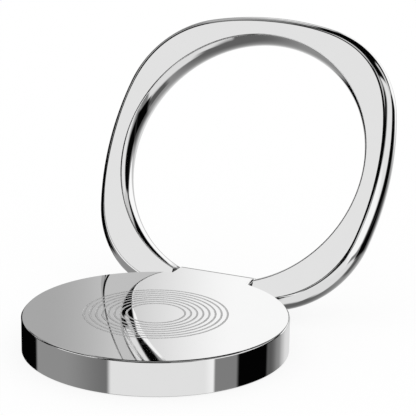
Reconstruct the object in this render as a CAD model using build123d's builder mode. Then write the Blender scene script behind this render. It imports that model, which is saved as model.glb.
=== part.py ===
"""Phone ring holder: a turning chrome disc with a folding finger ring hinged at its back.

Millimetres. Z is up from the phone's back, where the adhesive pad lies at Z = 0. The disc turns about
the Z axis. The hinge is at +Y, with its axis along X, and the ring stands open as in use.
"""

import os
from math import asin, cos, degrees, hypot, radians, sin, sqrt

from build123d import *

# Disc: the cap that shows
disc_radius = 18.0
cap_lift = 0.15
cap_top_thickness = 1.2
cap_wall = 3.0
skirt_wall = 1.2
cap_top_edge = 0.25
cap_bottom_edge = 0.1

# Finger ring, measured in its own plane. Its inner and outer walls are crowned: they bulge in the middle.
ring_clearance = 0.3
ring_floor_gap = 0.3
ring_band = 3.95
ring_side_bow = 43.9
ring_corner_radius = 14.95
ring_outer_crown = 1.1
ring_outer_edge = 0.25
ring_inner_crown = 0.6
ring_inner_edge = 0.15
ring_lean = 60.0

# Hinge
axis_inset = 1.1
lug_width = 12.0
lug_edge = 0.3
hinge_gap = 0.35
knuckle_proud = 0.05
pin_radius = 0.9
pin_left_grip = 4.75
pin_right_grip = 3.35
pin_chamfer = 0.15
pin_hole_spare = 0.1
sleeve_wall = 0.3
sleeve_slot = 0.5
sleeve_end_gap = 0.2
hinge_washer_margin = 0.65
scoop_angle = 45.0
swing_clearance = 0.2

# Swivel, under the cap
pad_thickness = 0.5
pad_inset = 0.7
plate_thickness = 0.8
plate_side_gap = 0.5
plate_headroom = 0.25
dish_radius = 5.0
boss_radius = 4.0
boss_height = 0.66
spigot_radius = 1.9
glide_thickness = 0.3
glide_inset = 0.1
thrust_thickness = 0.3
thrust_radius = 3.6
spring_thickness = 0.2
spring_rise = 0.18
spring_radius = 3.4
screw_head_radius = 3.0
screw_head_height = 0.5
screw_head_gap = 0.16
screw_radius = 0.88
screw_length = 2.3
screw_tip_gap = 0.2
recess_length = 2.8
recess_width = 0.55
recess_depth = 0.3

# Fits: radial clearances, and the gap between faces that slide
location_fit = 0.02
running_fit = 0.05
face_gap = 0.02

# Levels that follow from the sizes above, from the pad up through the swivel to the cap's top
screw_head_bottom = pad_thickness + screw_head_gap
spigot_bottom = screw_head_bottom + screw_head_height
spring_bottom = spigot_bottom + face_gap
thrust_bottom = spring_bottom + spring_rise + spring_thickness + face_gap
dish_ceiling = thrust_bottom + thrust_thickness + face_gap
dish_top = dish_ceiling + plate_thickness
glide_bottom = dish_top + face_gap
boss_bottom = glide_bottom + glide_thickness + face_gap
cap_ceiling = boss_bottom + boss_height
cap_top = cap_ceiling + cap_top_thickness
plate_top = pad_thickness + plate_thickness
cap_step = plate_top + plate_headroom

# Radii that follow
skirt_inner_radius = disc_radius - skirt_wall
cap_inner_radius = disc_radius - cap_wall
plate_radius = skirt_inner_radius - plate_side_gap
pad_radius = plate_radius - pad_inset
glide_radius = boss_radius - glide_inset
dish_outer_radius = dish_radius + plate_thickness
spigot_hole_radius = spigot_radius + running_fit
sleeve_inner_radius = pin_radius + running_fit
sleeve_outer_radius = sleeve_inner_radius + sleeve_wall
hinge_washer_radius = sleeve_outer_radius + hinge_washer_margin
lug_bore_radius = sleeve_outer_radius + location_fit
pin_hole_radius = pin_radius + location_fit
screw_hole_radius = screw_radius + location_fit

# Hinge and ring places that follow
ring_hole_radius = disc_radius + ring_clearance
ring_mouth_radius = ring_hole_radius + ring_inner_crown
ring_half_size = ring_hole_radius + ring_band
ring_thickness = cap_top - ring_floor_gap
half_thickness = ring_thickness / 2
hinge_y = ring_hole_radius + axis_inset
hinge_z = cap_top - half_thickness
lug_side = lug_width / 2
ring_end = lug_side + hinge_gap
pin_left_reach = ring_end + pin_left_grip
pin_right_reach = ring_end + pin_right_grip
hinge_washer_start = lug_side + running_fit
hinge_washer_thickness = hinge_gap - 2 * running_fit

# Corner arcs of the ring's outline, which run on from its bowed sides
bow_offset = ring_side_bow - ring_half_size
corner_run = ring_side_bow - ring_corner_radius
corner_centre = (sqrt(2 * corner_run**2 - bow_offset**2) - bow_offset) / 2
side_angle = degrees(asin(corner_centre / corner_run))
rim_depth = corner_centre * sqrt(2) + ring_corner_radius - ring_hole_radius + ring_inner_crown

# The hinge plane looks along the pin. The ring's own plane lies in the middle of its thickness, with its
# X along the pin and its Y from the pin to the ring's centre. The ring's end plane looks along the pin,
# and its radial plane cuts it across, from the centre outwards.
hinge_point = Vector(0, hinge_y, hinge_z)
hinge_axis = Axis(hinge_point, (1, 0, 0))
hinge_plane = Plane(hinge_point, x_dir=(0, 1, 0), z_dir=(1, 0, 0))
ring_up = Vector(0, cos(radians(ring_lean)), sin(radians(ring_lean)))
ring_normal = Vector(1, 0, 0).cross(ring_up)
ring_centre = hinge_point + ring_up * hinge_y
ring_plane = Plane(hinge_point, x_dir=(1, 0, 0), z_dir=ring_normal)
ring_end_plane = Plane(hinge_point, x_dir=ring_up, z_dir=(1, 0, 0))
ring_radial_plane = Plane(ring_centre, x_dir=(1, 0, 0), z_dir=-ring_up)


def swing_point(angle):
    """A point on the path of the mouth of the ring's hole past the disc, with the swing clearance.

    The angle is measured around the ring from the hinge. The path is drawn level with the pin.
    """
    inner = hinge_y - ring_mouth_radius * cos(radians(angle))
    reach = hypot(inner, half_thickness)
    return Vector(ring_mouth_radius * sin(radians(angle)), hinge_y - reach - swing_clearance)


def flat_washer(plane, outer, inner, thickness):
    """A flat washer that rises from its plane."""
    with BuildPart() as washer:
        with BuildSketch(plane):
            Circle(outer)
            Circle(inner, mode=Mode.SUBTRACT)
        extrude(amount=thickness)
    return washer


# Hinge lug: a tongue out of the disc, rounded over about the pin, which becomes part of the cap
with BuildPart() as lug:
    with BuildSketch(hinge_plane):
        Circle(half_thickness)
        with Locations((-hinge_y / 2, 0)):
            Rectangle(hinge_y, ring_thickness)
    extrude(amount=lug_side, both=True)
    chamfer(lug.faces().filter_by(Axis.X).edges(), lug_edge)

# Top cap: the disc with its lug, hollow underneath around a boss and a spigot for the swivel
with BuildPart() as top_cap:
    with BuildSketch(Plane.XY.offset(cap_lift)):
        Circle(disc_radius)
    extrude(amount=cap_top - cap_lift)
    chamfer(top_cap.edges().filter_by(GeomType.CIRCLE).sort_by(Axis.Z)[-1], cap_top_edge)
    chamfer(top_cap.edges().filter_by(GeomType.CIRCLE).sort_by(Axis.Z)[0], cap_bottom_edge)
    add(lug.part)
    with BuildSketch(Plane.XZ):
        with BuildLine():
            Polyline(
                (0, cap_lift),
                (skirt_inner_radius, cap_lift),
                (skirt_inner_radius, cap_step),
                (cap_inner_radius, cap_step),
                (cap_inner_radius, cap_ceiling),
                (boss_radius, cap_ceiling),
                (boss_radius, boss_bottom),
                (spigot_radius, boss_bottom),
                (spigot_radius, spigot_bottom),
                (0, spigot_bottom),
                close=True,
            )
        make_face()
    revolve(axis=Axis.Z, mode=Mode.SUBTRACT)
    with BuildSketch(Plane.XY.offset(spigot_bottom)):
        Circle(screw_hole_radius)
    extrude(amount=screw_length + screw_tip_gap, mode=Mode.SUBTRACT)

    # Bore for the hinge sleeve
    with BuildSketch(hinge_plane):
        Circle(lug_bore_radius)
    extrude(amount=lug_side, both=True, mode=Mode.SUBTRACT)

    # Scoops beside the lug, where the mouth of the ring's hole swings past the wall
    lug_angle = degrees(asin(lug_side / ring_mouth_radius))
    with BuildSketch(Plane.XY.offset(hinge_z)):
        with BuildLine():
            path = [swing_point(angle) for angle in (lug_angle, (lug_angle + scoop_angle) / 2, scoop_angle)]
            ThreePointArc(path)
            Polyline(path[-1], (path[-1].X, hinge_y), (path[0].X, hinge_y), path[0])
        make_face()
        mirror(about=Plane.YZ)
    revolve(axis=hinge_axis, mode=Mode.SUBTRACT)

# Outline of the finger ring: four bowed sides with round corners
with BuildSketch(ring_plane) as ring_outline:
    with BuildLine():
        for turn in (0, 90, 180, 270):
            side_centre = Vector(-bow_offset, 0).rotate(Axis.Z, turn) + Vector(0, hinge_y)
            CenterArc(side_centre, ring_side_bow, turn - side_angle, 2 * side_angle)
            arc_centre = Vector(corner_centre, corner_centre).rotate(Axis.Z, turn) + Vector(0, hinge_y)
            CenterArc(arc_centre, ring_corner_radius, turn + side_angle, 90 - 2 * side_angle)
    make_face()

# Finger ring: a crowned rim along the outline, a round crowned hole, and a gap where the lug goes
with BuildPart() as finger_ring:
    rim_path = ring_outline.sketch.face().outer_wire()
    along = rim_path % 0
    with BuildSketch(Plane(rim_path @ 0, x_dir=along.cross(ring_normal), z_dir=along)):
        with BuildLine():
            front = (-ring_outer_crown, half_thickness)
            back = (-ring_outer_crown, -half_thickness)
            ThreePointArc(back, (0, 0), front)
            Polyline(front, (-rim_depth, half_thickness), (-rim_depth, -half_thickness), back)
        make_face()
    sweep(path=rim_path)
    with BuildSketch(ring_radial_plane):
        with BuildLine():
            front = (ring_mouth_radius, half_thickness)
            back = (ring_mouth_radius, -half_thickness)
            ThreePointArc(back, (ring_hole_radius, 0), front)
            Polyline(front, (0, half_thickness), (0, -half_thickness), back)
        make_face()
    revolve(axis=Axis(ring_centre, ring_normal), mode=Mode.SUBTRACT)
    flats = finger_ring.faces().filter_by(ring_plane)
    chamfer([edge for flat in flats for edge in flat.outer_wire().edges()], ring_outer_edge)
    flats = finger_ring.faces().filter_by(ring_plane)
    chamfer([edge for flat in flats for edge in flat.inner_wires().edges()], ring_inner_edge)

    # Gap for the lug, and knuckles rounded about the pin
    with BuildSketch(ring_plane.offset(-half_thickness)):
        Rectangle(2 * ring_end, 2 * hinge_y)
    extrude(amount=ring_thickness, mode=Mode.SUBTRACT)
    with BuildSketch(ring_end_plane):
        with Locations((-hinge_y / 2, 0)):
            Rectangle(hinge_y, 2 * ring_thickness)
        Circle(half_thickness + knuckle_proud, mode=Mode.SUBTRACT)
    extrude(amount=ring_half_size, both=True, mode=Mode.SUBTRACT)

    # Pin hole: blind on the right, and out through the wall on the left, where the pin goes in
    with BuildSketch(hinge_plane):
        Circle(pin_hole_radius)
    extrude(amount=pin_right_reach + pin_hole_spare, mode=Mode.SUBTRACT)
    with BuildSketch(hinge_plane):
        Circle(pin_hole_radius)
    extrude(amount=-ring_half_size, mode=Mode.SUBTRACT)

# Hinge pin, from the left end of the ring through the lug into the right end
with BuildPart() as hinge_pin:
    with BuildSketch(hinge_plane.offset(-pin_left_reach)):
        Circle(pin_radius)
    extrude(amount=pin_left_reach + pin_right_reach)
    chamfer(hinge_pin.edges().filter_by(GeomType.CIRCLE), pin_chamfer)

# Friction sleeve: a split tube in the lug that grips the pin
with BuildPart() as friction_sleeve:
    with BuildSketch(hinge_plane):
        Circle(sleeve_outer_radius)
        Circle(sleeve_inner_radius, mode=Mode.SUBTRACT)
        with Locations((0, sleeve_outer_radius / 2)):
            Rectangle(sleeve_slot, sleeve_outer_radius, mode=Mode.SUBTRACT)
    extrude(amount=lug_side - sleeve_end_gap, both=True)

# Hinge washers, one each side of the lug
hinge_washer_right = flat_washer(
    hinge_plane.offset(hinge_washer_start), hinge_washer_radius, sleeve_inner_radius, hinge_washer_thickness
)
hinge_washer_left = flat_washer(
    hinge_plane.offset(-hinge_washer_start), hinge_washer_radius, sleeve_inner_radius, -hinge_washer_thickness
)

# Base plate: pressed steel, with a raised dish in the middle that hides the screw's head
with BuildPart() as base_plate:
    with BuildSketch(Plane.XZ):
        with BuildLine():
            Polyline(
                (spigot_hole_radius, dish_ceiling),
                (dish_radius, dish_ceiling),
                (dish_radius, pad_thickness),
                (plate_radius, pad_thickness),
                (plate_radius, plate_top),
                (dish_outer_radius, plate_top),
                (dish_outer_radius, dish_top),
                (spigot_hole_radius, dish_top),
                close=True,
            )
        make_face()
    revolve(axis=Axis.Z)

# Glide washer between the cap's boss and the plate, and thrust washer under the plate
glide_plane = Plane.XY.offset(glide_bottom)
glide_washer = flat_washer(glide_plane, glide_radius, spigot_hole_radius, glide_thickness)
thrust_plane = Plane.XY.offset(thrust_bottom)
thrust_washer = flat_washer(thrust_plane, thrust_radius, spigot_hole_radius, thrust_thickness)

# Disc spring: a coned washer that presses the thrust washer up and the screw's head down
with BuildPart() as disc_spring:
    with BuildSketch(Plane.XZ):
        with BuildLine():
            Polyline(
                (spigot_hole_radius, spring_bottom),
                (spring_radius, spring_bottom + spring_rise),
                (spring_radius, spring_bottom + spring_rise + spring_thickness),
                (spigot_hole_radius, spring_bottom + spring_thickness),
                close=True,
            )
        make_face()
    revolve(axis=Axis.Z)

# Swivel screw, up into the cap's spigot, with a cross recess in its flat head
with BuildPart() as swivel_screw:
    with BuildSketch(Plane.XY.offset(screw_head_bottom)):
        Circle(screw_head_radius)
    extrude(amount=screw_head_height)
    with BuildSketch(Plane.XY.offset(spigot_bottom)):
        Circle(screw_radius)
    extrude(amount=screw_length)
    with BuildSketch(Plane.XY.offset(screw_head_bottom)):
        Rectangle(recess_length, recess_width)
        Rectangle(recess_width, recess_length)
    extrude(amount=recess_depth, mode=Mode.SUBTRACT)

# Adhesive pad under the plate
with BuildPart() as adhesive_pad:
    with BuildSketch(Plane.XY):
        Circle(pad_radius)
    extrude(amount=pad_thickness)

pieces = {
    "top_cap": top_cap,
    "finger_ring": finger_ring,
    "hinge_pin": hinge_pin,
    "friction_sleeve": friction_sleeve,
    "hinge_washer_left": hinge_washer_left,
    "hinge_washer_right": hinge_washer_right,
    "base_plate": base_plate,
    "glide_washer": glide_washer,
    "thrust_washer": thrust_washer,
    "disc_spring": disc_spring,
    "swivel_screw": swivel_screw,
    "adhesive_pad": adhesive_pad,
}

os.makedirs("parts", exist_ok=True)
for name, piece in pieces.items():
    piece.part.label = name
    export_step(piece.part, f"parts/{name}.step")
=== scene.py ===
"""Phone ring holder of polished chrome, standing open in a plain white studio."""
from math import cos, radians, sin

import bpy
from mathutils import Matrix, Vector


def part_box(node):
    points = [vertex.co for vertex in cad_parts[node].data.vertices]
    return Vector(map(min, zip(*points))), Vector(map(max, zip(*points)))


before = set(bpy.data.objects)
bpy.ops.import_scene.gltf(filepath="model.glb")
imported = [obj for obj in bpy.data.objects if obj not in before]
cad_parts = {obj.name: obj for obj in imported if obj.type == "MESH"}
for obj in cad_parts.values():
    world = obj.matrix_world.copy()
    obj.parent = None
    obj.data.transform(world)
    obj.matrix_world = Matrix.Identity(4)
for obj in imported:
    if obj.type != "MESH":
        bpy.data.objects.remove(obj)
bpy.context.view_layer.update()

MM = 0.001

# Camera: turned from the front towards +X, raised, and rolled a little, as the photograph was taken
CAMERA_AZIMUTH = radians(24.683)
CAMERA_ELEVATION = radians(15.974)
CAMERA_ROLL = radians(0.935)
CAMERA_PLACE = Vector((96.086, -192.873, 81.323)) * MM
CAMERA_LENS = 147.155
CAMERA_SENSOR = 36.0
CAMERA_NEAR = 10 * MM

# Floor, the share of its own shading that the camera sees, and the world's plain light
FLOOR_SIZE = 4.0
FLOOR_SHADOW = 0.15
PLAIN_LIGHT = 1.0

# Shading of the bevelled edges: vertices this close are one, and surfaces this far apart stay sharp
JOIN_GAP = 0.001 * MM
BEVEL_ANGLE = radians(65)

# Fine circles in the cap's top, cut only where the surface lies less than TOP_BELOW under the highest point
CIRCLE_COUNT = 8
CIRCLE_FIRST = 3.9 * MM
CIRCLE_PITCH = 0.82 * MM
CIRCLE_WIDTH = 0.24 * MM
CIRCLE_SOFT = 0.06 * MM
CIRCLE_DEPTH = 0.03 * MM
CIRCLE_GREY = 0.50
CIRCLE_ROUGHNESS = 0.38
CIRCLE_METALLIC = 0.2
TOP_BELOW = 0.05 * MM

# The studio round the object, as a polished surface sees it: soft panels and dark screens, each given by the
# azimuth (from +Y towards +X) and elevation of its middle, its half sizes, its tilt, all in degrees, its
# brightness and the width of its soft edge. Later ones lie over earlier ones.
STUDIO_BASE = 0.27
DARK = 0.001
PANELS = (
    # azimuth, elevation, half sizes, tilt, level, soft
    (0, 55, 190, 43, 0, DARK, 10),          # dark upper half of the room
    (0, 88, 190, 13, 0, 0.60, 8),           # soft light overhead
    (-55, 50, 16, 18, 0, 0.35, 8),          # grey wall high on the left
    (88, 58, 27, 12, 0, 0.50, 8),           # grey wall high on the right
    (-150, 40, 9, 8, 0, 0.80, 4),           # key panel, in front on the left
    (-106, 64, 8, 6, 0, 0.57, 4),           # small card above the left side
    (-138, 10, 19, 14, 0, 0.98, 8),         # bright card below the key panel
    (-95, 2, 16, 14, 0, DARK, 6),           # screen on the left
    (-86, 20, 9, 7, 0, 0.60, 4),            # light wall above it
    (-165, -20, 20, 16, 0, 0.14, 50),       # shade on the left of the camera
    (0, -80, 190, 22, 0, 0.12, 30),         # dark ground below
    (128, -44, 52, 24, 0, 0.75, 14),        # floor card on the right
    (145, -64, 38, 14, 0, 0.75, 14),        # its nearer part
    (150, 5, 50, 14, 0, DARK, 6),           # dark camera side
    (127, 18, 14, 8, 0, 0.60, 4),           # light wall above it
    (180, 20, 9, 7, 0, 0.45, 4),            # grey wall in front
    (148, -21, 45, 9, 0, 0.78, 5),          # low panel round the camera
    (38, 8, 48, 14, -45, DARK, 6),          # slanting screen on the right
    (80, 11, 44, 15, -35, 0.80, 5),         # slanting panel beside it
    (98, -2, 18, 14, -35, 0.98, 10),        # its brighter lower part
    (91, -21, 12, 4, 0, 0.21, 3),           # grey card low on the right
    (45, -21, 35, 8, 0, 0.09, 4),           # dark ground at the back on the right
    (62, -21, 18, 8, 0, DARK, 4),           # screen low on the right
    (58, -38, 14, 8, 0, 0.10, 6),           # its shadow
    (-12, -21, 32, 12, 0, 0.80, 40),        # light of the window on the ground
    (-62, -5, 24, 21, 0, DARK, 5),          # screen at the back on the left
    (6, 6, 21, 13, -12, 1.00, 5),           # window at the back
    (-48, 20, 23, 7, 0, 0.40, 5),           # grey wall left of the window
    (-21, 19, 6, 6, 0, 0.98, 7),            # corner of the window
    (-30, 34, 11, 6, 0, 0.50, 4),           # grey wall above it
    (32, 29, 12, 6, -45, 0.60, 4),          # light wall right of the window
)


def add_node(tree, kind, **settings):
    """A shader node. Settings that name an input set or link that socket, the others set the node itself."""
    node = tree.nodes.new(kind)
    for name, value in settings.items():
        if hasattr(node, name):
            setattr(node, name, value)
        else:
            feed(tree, node.inputs[name.replace("_", " ")], value)
    return node


def feed(tree, socket, value):
    """Link a socket to another node's output, or set its own value."""
    if isinstance(value, bpy.types.NodeSocket):
        tree.links.new(value, socket)
    else:
        socket.default_value = value


def maths(tree, operation, *values):
    """A math node's result."""
    node = tree.nodes.new("ShaderNodeMath")
    node.operation = operation
    for socket, value in zip(node.inputs, values):
        feed(tree, socket, value)
    return node.outputs[0]


def ramp(tree, value, start, end, low=0.0, high=1.0):
    """Value taken from start..end to low..high, with soft ends."""
    node = tree.nodes.new("ShaderNodeMapRange")
    node.interpolation_type = "SMOOTHSTEP"
    for name, number in (("From Min", start), ("From Max", end), ("To Min", low), ("To Max", high)):
        node.inputs[name].default_value = number
    feed(tree, node.inputs["Value"], value)
    return node.outputs["Result"]


def mix_colour(tree, amount, first, second):
    """Two colours mixed."""
    node = tree.nodes.new("ShaderNodeMix")
    node.data_type = "RGBA"
    feed(tree, node.inputs["Factor"], amount)
    feed(tree, node.inputs["A"], first)
    feed(tree, node.inputs["B"], second)
    return node.outputs["Result"]


def weighted_sum(tree, first, first_share, second, second_share):
    """Two values, each times its share, added."""
    return maths(tree, "MULTIPLY_ADD", first, first_share, maths(tree, "MULTIPLY", second, second_share))


def blend(tree, amount, first, second):
    """Two numbers mixed."""
    node = tree.nodes.new("ShaderNodeMix")
    node.data_type = "FLOAT"
    feed(tree, node.inputs["Factor"], amount)
    feed(tree, node.inputs["A"], first)
    feed(tree, node.inputs["B"], second)
    return node.outputs["Result"]


def grey(level):
    """A grey as an RGBA colour."""
    return (level, level, level, 1.0)


def new_material(name):
    """A node material, its tree, its main shader and the object's own coordinates."""
    material = bpy.data.materials.new(name)
    material.use_nodes = True
    tree = material.node_tree
    shader = tree.nodes["Principled BSDF"]
    place = tree.nodes.new("ShaderNodeTexCoord").outputs["Object"]
    return material, tree, shader, place


def noise(tree, place, scale, detail=3.0, stretch=(1, 1, 1)):
    """Soft noise on object coordinates, with its scale in cells per metre, stretched along some axes."""
    mapping = tree.nodes.new("ShaderNodeMapping")
    mapping.inputs["Scale"].default_value = stretch
    tree.links.new(place, mapping.inputs["Vector"])
    node = tree.nodes.new("ShaderNodeTexNoise")
    node.inputs["Scale"].default_value = scale
    node.inputs["Detail"].default_value = detail
    tree.links.new(mapping.outputs["Vector"], node.inputs["Vector"])
    return node.outputs["Fac"]


def bump(tree, shader, height, distance):
    """Bump on a shader, with the height of a full step in metres."""
    node = tree.nodes.new("ShaderNodeBump")
    node.inputs["Strength"].default_value = 1.0
    node.inputs["Distance"].default_value = distance
    tree.links.new(height, node.inputs["Height"])
    tree.links.new(node.outputs["Normal"], shader.inputs["Normal"])


def chrome(name):
    """Polished chrome plate: nearly a mirror, with a faint haze left by polishing."""
    material, tree, shader, place = new_material(name)
    shader.inputs["Metallic"].default_value = 1.0
    haze = noise(tree, place, 220, detail=4.0)
    wipe = noise(tree, place, 900, detail=2.0, stretch=(1, 0.15, 1))
    colour = mix_colour(tree, haze, grey(0.935), grey(0.955))
    tree.links.new(colour, shader.inputs["Base Color"])
    polish = ramp(tree, maths(tree, "MULTIPLY", haze, wipe), 0.1, 0.5, 0.015, 0.045)
    tree.links.new(polish, shader.inputs["Roughness"])
    return material, tree, shader, place


def cap_chrome():
    """The cap's chrome, with fine frosted circles cut in the middle of its flat top."""
    material, tree, shader, place = chrome("cap_chrome")
    split = add_node(tree, "ShaderNodeSeparateXYZ", Vector=place)
    x, y, z = split.outputs
    square = maths(tree, "ADD", maths(tree, "MULTIPLY", x, x), maths(tree, "MULTIPLY", y, y))
    radius = maths(tree, "SQRT", square)
    last = CIRCLE_FIRST + (CIRCLE_COUNT - 0.5) * CIRCLE_PITCH
    wave = maths(tree, "PINGPONG", maths(tree, "SUBTRACT", radius, CIRCLE_FIRST), CIRCLE_PITCH / 2)
    line = ramp(tree, wave, CIRCLE_WIDTH / 2 + CIRCLE_SOFT / 2, CIRCLE_WIDTH / 2 - CIRCLE_SOFT / 2)
    outside = maths(tree, "LESS_THAN", radius, last)
    inside = maths(tree, "GREATER_THAN", radius, CIRCLE_FIRST - CIRCLE_PITCH / 2)
    on_top = maths(tree, "GREATER_THAN", z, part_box("top_cap")[1][2] - TOP_BELOW)
    for gate in (outside, inside, on_top):
        line = maths(tree, "MULTIPLY", line, gate)
    grain = noise(tree, place, 9000, detail=2.0)
    frost = maths(tree, "MULTIPLY", line, ramp(tree, grain, 0.3, 0.7, 0.9, 1.0))
    polished_colour = shader.inputs["Base Color"].links[0].from_socket
    colour = mix_colour(tree, frost, polished_colour, grey(CIRCLE_GREY))
    tree.links.new(colour, shader.inputs["Base Color"])
    polished = shader.inputs["Roughness"].links[0].from_socket
    rough = maths(tree, "ADD", polished, maths(tree, "MULTIPLY", frost, CIRCLE_ROUGHNESS))
    tree.links.new(rough, shader.inputs["Roughness"])
    tree.links.new(ramp(tree, frost, 0, 1, 1.0, CIRCLE_METALLIC), shader.inputs["Metallic"])
    bump(tree, shader, maths(tree, "SUBTRACT", 1.0, frost), CIRCLE_DEPTH)
    return material


def ring_chrome():
    """The ring's chrome, plain all over."""
    return chrome("ring_chrome")[0]


def ground_steel():
    """Pin and screw: steel ground along its length, with fine lines round it."""
    material, tree, shader, place = new_material("ground_steel")
    shader.inputs["Metallic"].default_value = 1.0
    lines = noise(tree, place, 9000, detail=2.0, stretch=(1, 0.04, 0.04))
    tone = mix_colour(tree, lines, grey(0.52), grey(0.72))
    tree.links.new(tone, shader.inputs["Base Color"])
    tree.links.new(ramp(tree, lines, 0.2, 0.8, 0.22, 0.42), shader.inputs["Roughness"])
    bump(tree, shader, lines, 0.004 * MM)
    return material


def spring_steel():
    """Sleeve and disc spring: darker satin steel, a little blued by its heat treatment."""
    material, tree, shader, place = new_material("spring_steel")
    shader.inputs["Metallic"].default_value = 1.0
    patches = noise(tree, place, 600, detail=3.0)
    grain = noise(tree, place, 12000, detail=2.0)
    tone = mix_colour(tree, ramp(tree, patches, 0.3, 0.7), (0.40, 0.41, 0.45, 1), (0.50, 0.48, 0.46, 1))
    tree.links.new(tone, shader.inputs["Base Color"])
    tree.links.new(ramp(tree, grain, 0.2, 0.8, 0.28, 0.45), shader.inputs["Roughness"])
    bump(tree, shader, grain, 0.003 * MM)
    return material


def pressed_steel():
    """Base plate and thrust washer: bright zinc-plated steel sheet with its rolling lines."""
    material, tree, shader, place = new_material("pressed_steel")
    shader.inputs["Metallic"].default_value = 1.0
    rolled = noise(tree, place, 5000, detail=3.0, stretch=(0.05, 1, 1))
    cloud = noise(tree, place, 300, detail=3.0)
    tone = mix_colour(tree, cloud, grey(0.63), grey(0.75))
    tree.links.new(tone, shader.inputs["Base Color"])
    tree.links.new(ramp(tree, rolled, 0.2, 0.8, 0.24, 0.40), shader.inputs["Roughness"])
    bump(tree, shader, rolled, 0.004 * MM)
    return material


def nylon():
    """Hinge washers: black nylon with a fine moulded grain."""
    material, tree, shader, place = new_material("nylon_black")
    grain = noise(tree, place, 7000, detail=3.0)
    cloud = noise(tree, place, 900, detail=2.0)
    tone = mix_colour(tree, cloud, grey(0.075), grey(0.125))
    tree.links.new(tone, shader.inputs["Base Color"])
    tree.links.new(ramp(tree, grain, 0.2, 0.8, 0.42, 0.60), shader.inputs["Roughness"])
    bump(tree, shader, grain, 0.010 * MM)
    return material


def acetal():
    """Glide washer: waxy off-white plastic."""
    material, tree, shader, place = new_material("acetal_white")
    shader.inputs["Subsurface Weight"].default_value = 0.1
    shader.inputs["Subsurface Radius"].default_value = (0.001, 0.001, 0.001)
    grain = noise(tree, place, 6000, detail=2.0)
    cloud = noise(tree, place, 400, detail=2.0)
    tone = mix_colour(tree, cloud, (0.86, 0.86, 0.83, 1), (0.93, 0.93, 0.91, 1))
    tree.links.new(tone, shader.inputs["Base Color"])
    tree.links.new(ramp(tree, grain, 0.2, 0.8, 0.35, 0.48), shader.inputs["Roughness"])
    bump(tree, shader, grain, 0.006 * MM)
    return material


def foam():
    """Adhesive pad: black closed-cell foam, pitted with small cells, with painted shade darkening each pit.
    """
    material, tree, shader, place = new_material("foam_black")
    cells = tree.nodes.new("ShaderNodeTexVoronoi")
    cells.inputs["Scale"].default_value = 4500
    tree.links.new(place, cells.inputs["Vector"])
    pits = ramp(tree, cells.outputs["Distance"], 0.1, 0.6)
    cloud = noise(tree, place, 500, detail=3.0)
    # Painted shade: the colour darkens towards the middle of each pit, over a random cloudy tone.
    tone = mix_colour(tree, maths(tree, "MULTIPLY", pits, cloud), grey(0.035), grey(0.105))
    tree.links.new(tone, shader.inputs["Base Color"])
    tree.links.new(ramp(tree, pits, 0, 1, 0.92, 0.74), shader.inputs["Roughness"])
    bump(tree, shader, pits, 0.06 * MM)
    return material


def dress(node, material):
    """Give a CAD node its finish."""
    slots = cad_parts[node].material_slots
    for slot in slots:
        slot.material = material


def rounded_edges():
    """Node group that shades narrow bevels as rounded edges: each corner takes the CAD normal of the largest
    surface at its vertex, unless the two lie further apart than a bevel's angle."""
    tree = bpy.data.node_groups.new("rounded_edges", "GeometryNodeTree")
    tree.interface.new_socket("Geometry", in_out="INPUT", socket_type="NodeSocketGeometry")
    tree.interface.new_socket("Geometry", in_out="OUTPUT", socket_type="NodeSocketGeometry")
    nodes, links = tree.nodes, tree.links
    keep = nodes.new("GeometryNodeCaptureAttribute")
    keep.domain = "CORNER"
    keep.capture_items.new("VECTOR", "Normal")
    keep.capture_items.new("FLOAT", "Area")
    links.new(nodes.new("NodeGroupInput").outputs["Geometry"], keep.inputs["Geometry"])
    links.new(nodes.new("GeometryNodeInputNormal").outputs["Normal"], keep.inputs["Normal"])
    area = nodes.new("GeometryNodeAccumulateField")
    area.domain = "FACE"
    feed(tree, area.inputs["Value"], nodes.new("GeometryNodeInputMeshFaceArea").outputs["Area"])
    feed(tree, area.inputs["Group ID"], nodes.new("GeometryNodeInputMeshIsland").outputs["Island Index"])
    links.new(area.outputs["Total"], keep.inputs["Area"])
    own = keep.outputs["Normal"]
    smallness = maths(tree, "MULTIPLY", keep.outputs["Area"], -1.0)
    apart = keep.outputs["Geometry"]
    joined = add_node(tree, "GeometryNodeMergeByDistance", Geometry=apart, Distance=JOIN_GAP)
    vertex = nodes.new("GeometryNodeVertexOfCorner").outputs["Vertex Index"]
    largest = add_node(tree, "GeometryNodeCornersOfVertex", Vertex_Index=vertex, Weights=smallness)
    pick = nodes.new("GeometryNodeFieldAtIndex")
    pick.domain = "CORNER"
    pick.data_type = "FLOAT_VECTOR"
    feed(tree, pick.inputs["Value"], own)
    feed(tree, pick.inputs["Index"], largest.outputs["Corner Index"])
    facing = nodes.new("ShaderNodeVectorMath")
    facing.operation = "DOT_PRODUCT"
    feed(tree, facing.inputs[0], own)
    feed(tree, facing.inputs[1], pick.outputs["Value"])
    choose = nodes.new("GeometryNodeSwitch")
    choose.input_type = "VECTOR"
    near = maths(tree, "GREATER_THAN", facing.outputs["Value"], cos(BEVEL_ANGLE))
    feed(tree, choose.inputs["Switch"], near)
    feed(tree, choose.inputs["False"], own)
    feed(tree, choose.inputs["True"], pick.outputs["Value"])
    shade = nodes.new("GeometryNodeSetMeshNormal")
    shade.mode = "FREE"
    shade.domain = "CORNER"
    feed(tree, shade.inputs["Mesh"], joined.outputs["Geometry"])
    feed(tree, shade.inputs["Custom Normal"], choose.outputs["Output"])
    links.new(shade.outputs["Mesh"], nodes.new("NodeGroupOutput").inputs["Geometry"])
    return tree


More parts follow.
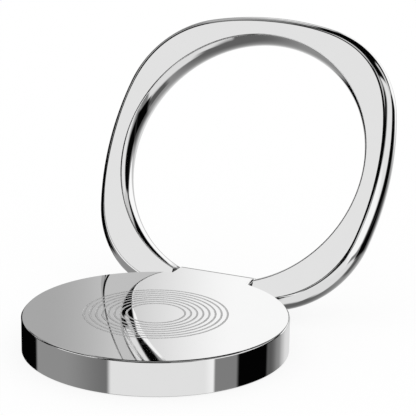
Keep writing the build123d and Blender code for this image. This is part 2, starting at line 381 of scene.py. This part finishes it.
steel_pins = ground_steel()
springs = spring_steel()
plates = pressed_steel()
washers = nylon()
dress("top_cap", cap_chrome())
dress("finger_ring", ring_chrome())
dress("hinge_pin", steel_pins)
dress("swivel_screw", steel_pins)
dress("friction_sleeve", springs)
dress("disc_spring", springs)
dress("base_plate", plates)
dress("thrust_washer", plates)
dress("hinge_washer_left", washers)
dress("hinge_washer_right", washers)
dress("glide_washer", acetal())
dress("adhesive_pad", foam())
polished_edges = rounded_edges()
for node in ("top_cap", "finger_ring"):
    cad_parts[node].modifiers.new("rounded_edges", "NODES").node_group = polished_edges


def studio_level(tree):
    """Brightness of the studio in each direction."""
    ray = tree.nodes.new("ShaderNodeTexCoord").outputs["Generated"]
    x, y, z = add_node(tree, "ShaderNodeSeparateXYZ", Vector=ray).outputs
    azimuth = maths(tree, "DEGREES", maths(tree, "ARCTAN2", x, y))
    elevation = maths(tree, "DEGREES", maths(tree, "ARCSINE", z))
    level = STUDIO_BASE
    for middle_az, middle_el, half_across, half_along, tilt, brightness, soft in PANELS:
        turn = maths(tree, "WRAP", maths(tree, "SUBTRACT", azimuth, middle_az), 180.0, -180.0)
        lift = maths(tree, "SUBTRACT", elevation, middle_el)
        lean = radians(tilt)
        across = weighted_sum(tree, turn, cos(lean), lift, sin(lean))
        along = weighted_sum(tree, lift, cos(lean), turn, -sin(lean))
        inside = 1.0
        for offset, half in ((across, half_across), (along, half_along)):
            edge = ramp(tree, maths(tree, "ABSOLUTE", offset), half + soft / 2, half - soft / 2)
            inside = maths(tree, "MULTIPLY", inside, edge)
        level = blend(tree, inside, level, brightness)
    return level


def make_world():
    """White to the camera, plain even light on the object, and the studio's panels in polished metal."""
    world = bpy.data.worlds.new("studio")
    world.use_nodes = True
    tree = world.node_tree
    rays = tree.nodes.new("ShaderNodeLightPath").outputs
    lit = blend(tree, rays["Is Glossy Ray"], PLAIN_LIGHT, studio_level(tree))
    seen = blend(tree, rays["Is Camera Ray"], lit, 1.0)
    tree.links.new(seen, tree.nodes["Background"].inputs["Color"])
    bpy.context.scene.world = world


def make_floor():
    """White floor that keeps a faint shadow of the object, and can be seen through from below."""
    bpy.ops.mesh.primitive_plane_add(size=FLOOR_SIZE)
    floor = bpy.context.object
    floor.name = "floor"
    floor.visible_glossy = False
    material = bpy.data.materials.new("floor_white")
    material.use_nodes = True
    tree = material.node_tree
    tree.nodes.remove(tree.nodes["Principled BSDF"])
    rays = tree.nodes.new("ShaderNodeLightPath").outputs
    matt = add_node(tree, "ShaderNodeBsdfDiffuse", Color=grey(1.0))
    glow = add_node(tree, "ShaderNodeEmission", Color=grey(1.0))
    white = maths(tree, "MULTIPLY", rays["Is Camera Ray"], 1 - FLOOR_SHADOW)
    surface = add_node(tree, "ShaderNodeMixShader", Fac=white)
    tree.links.new(matt.outputs[0], surface.inputs[1])
    tree.links.new(glow.outputs[0], surface.inputs[2])
    below = tree.nodes.new("ShaderNodeNewGeometry").outputs["Backfacing"]
    sides = add_node(tree, "ShaderNodeMixShader", Fac=below)
    tree.links.new(surface.outputs[0], sides.inputs[1])
    tree.links.new(tree.nodes.new("ShaderNodeBsdfTransparent").outputs[0], sides.inputs[2])
    tree.links.new(sides.outputs[0], tree.nodes["Material Output"].inputs["Surface"])
    floor.data.materials.append(material)


def make_camera():
    """The camera at the photograph's angle and distance."""
    back = Vector((
        sin(CAMERA_AZIMUTH) * cos(CAMERA_ELEVATION),
        -cos(CAMERA_AZIMUTH) * cos(CAMERA_ELEVATION),
        sin(CAMERA_ELEVATION),
    ))
    level_right = Vector((cos(CAMERA_AZIMUTH), sin(CAMERA_AZIMUTH), 0))
    level_up = back.cross(level_right)
    right = cos(CAMERA_ROLL) * level_right + sin(CAMERA_ROLL) * level_up
    up = back.cross(right)
    turn = Matrix((right, up, back)).transposed().to_4x4()
    data = bpy.data.cameras.new("camera")
    data.lens = CAMERA_LENS
    data.sensor_width = CAMERA_SENSOR
    data.clip_start = CAMERA_NEAR
    camera = bpy.data.objects.new("camera", data)
    camera.matrix_world = Matrix.Translation(CAMERA_PLACE) @ turn
    bpy.context.collection.objects.link(camera)
    bpy.context.scene.camera = camera


make_world()
make_floor()
make_camera()
bpy.context.scene.view_settings.view_transform = "Standard"
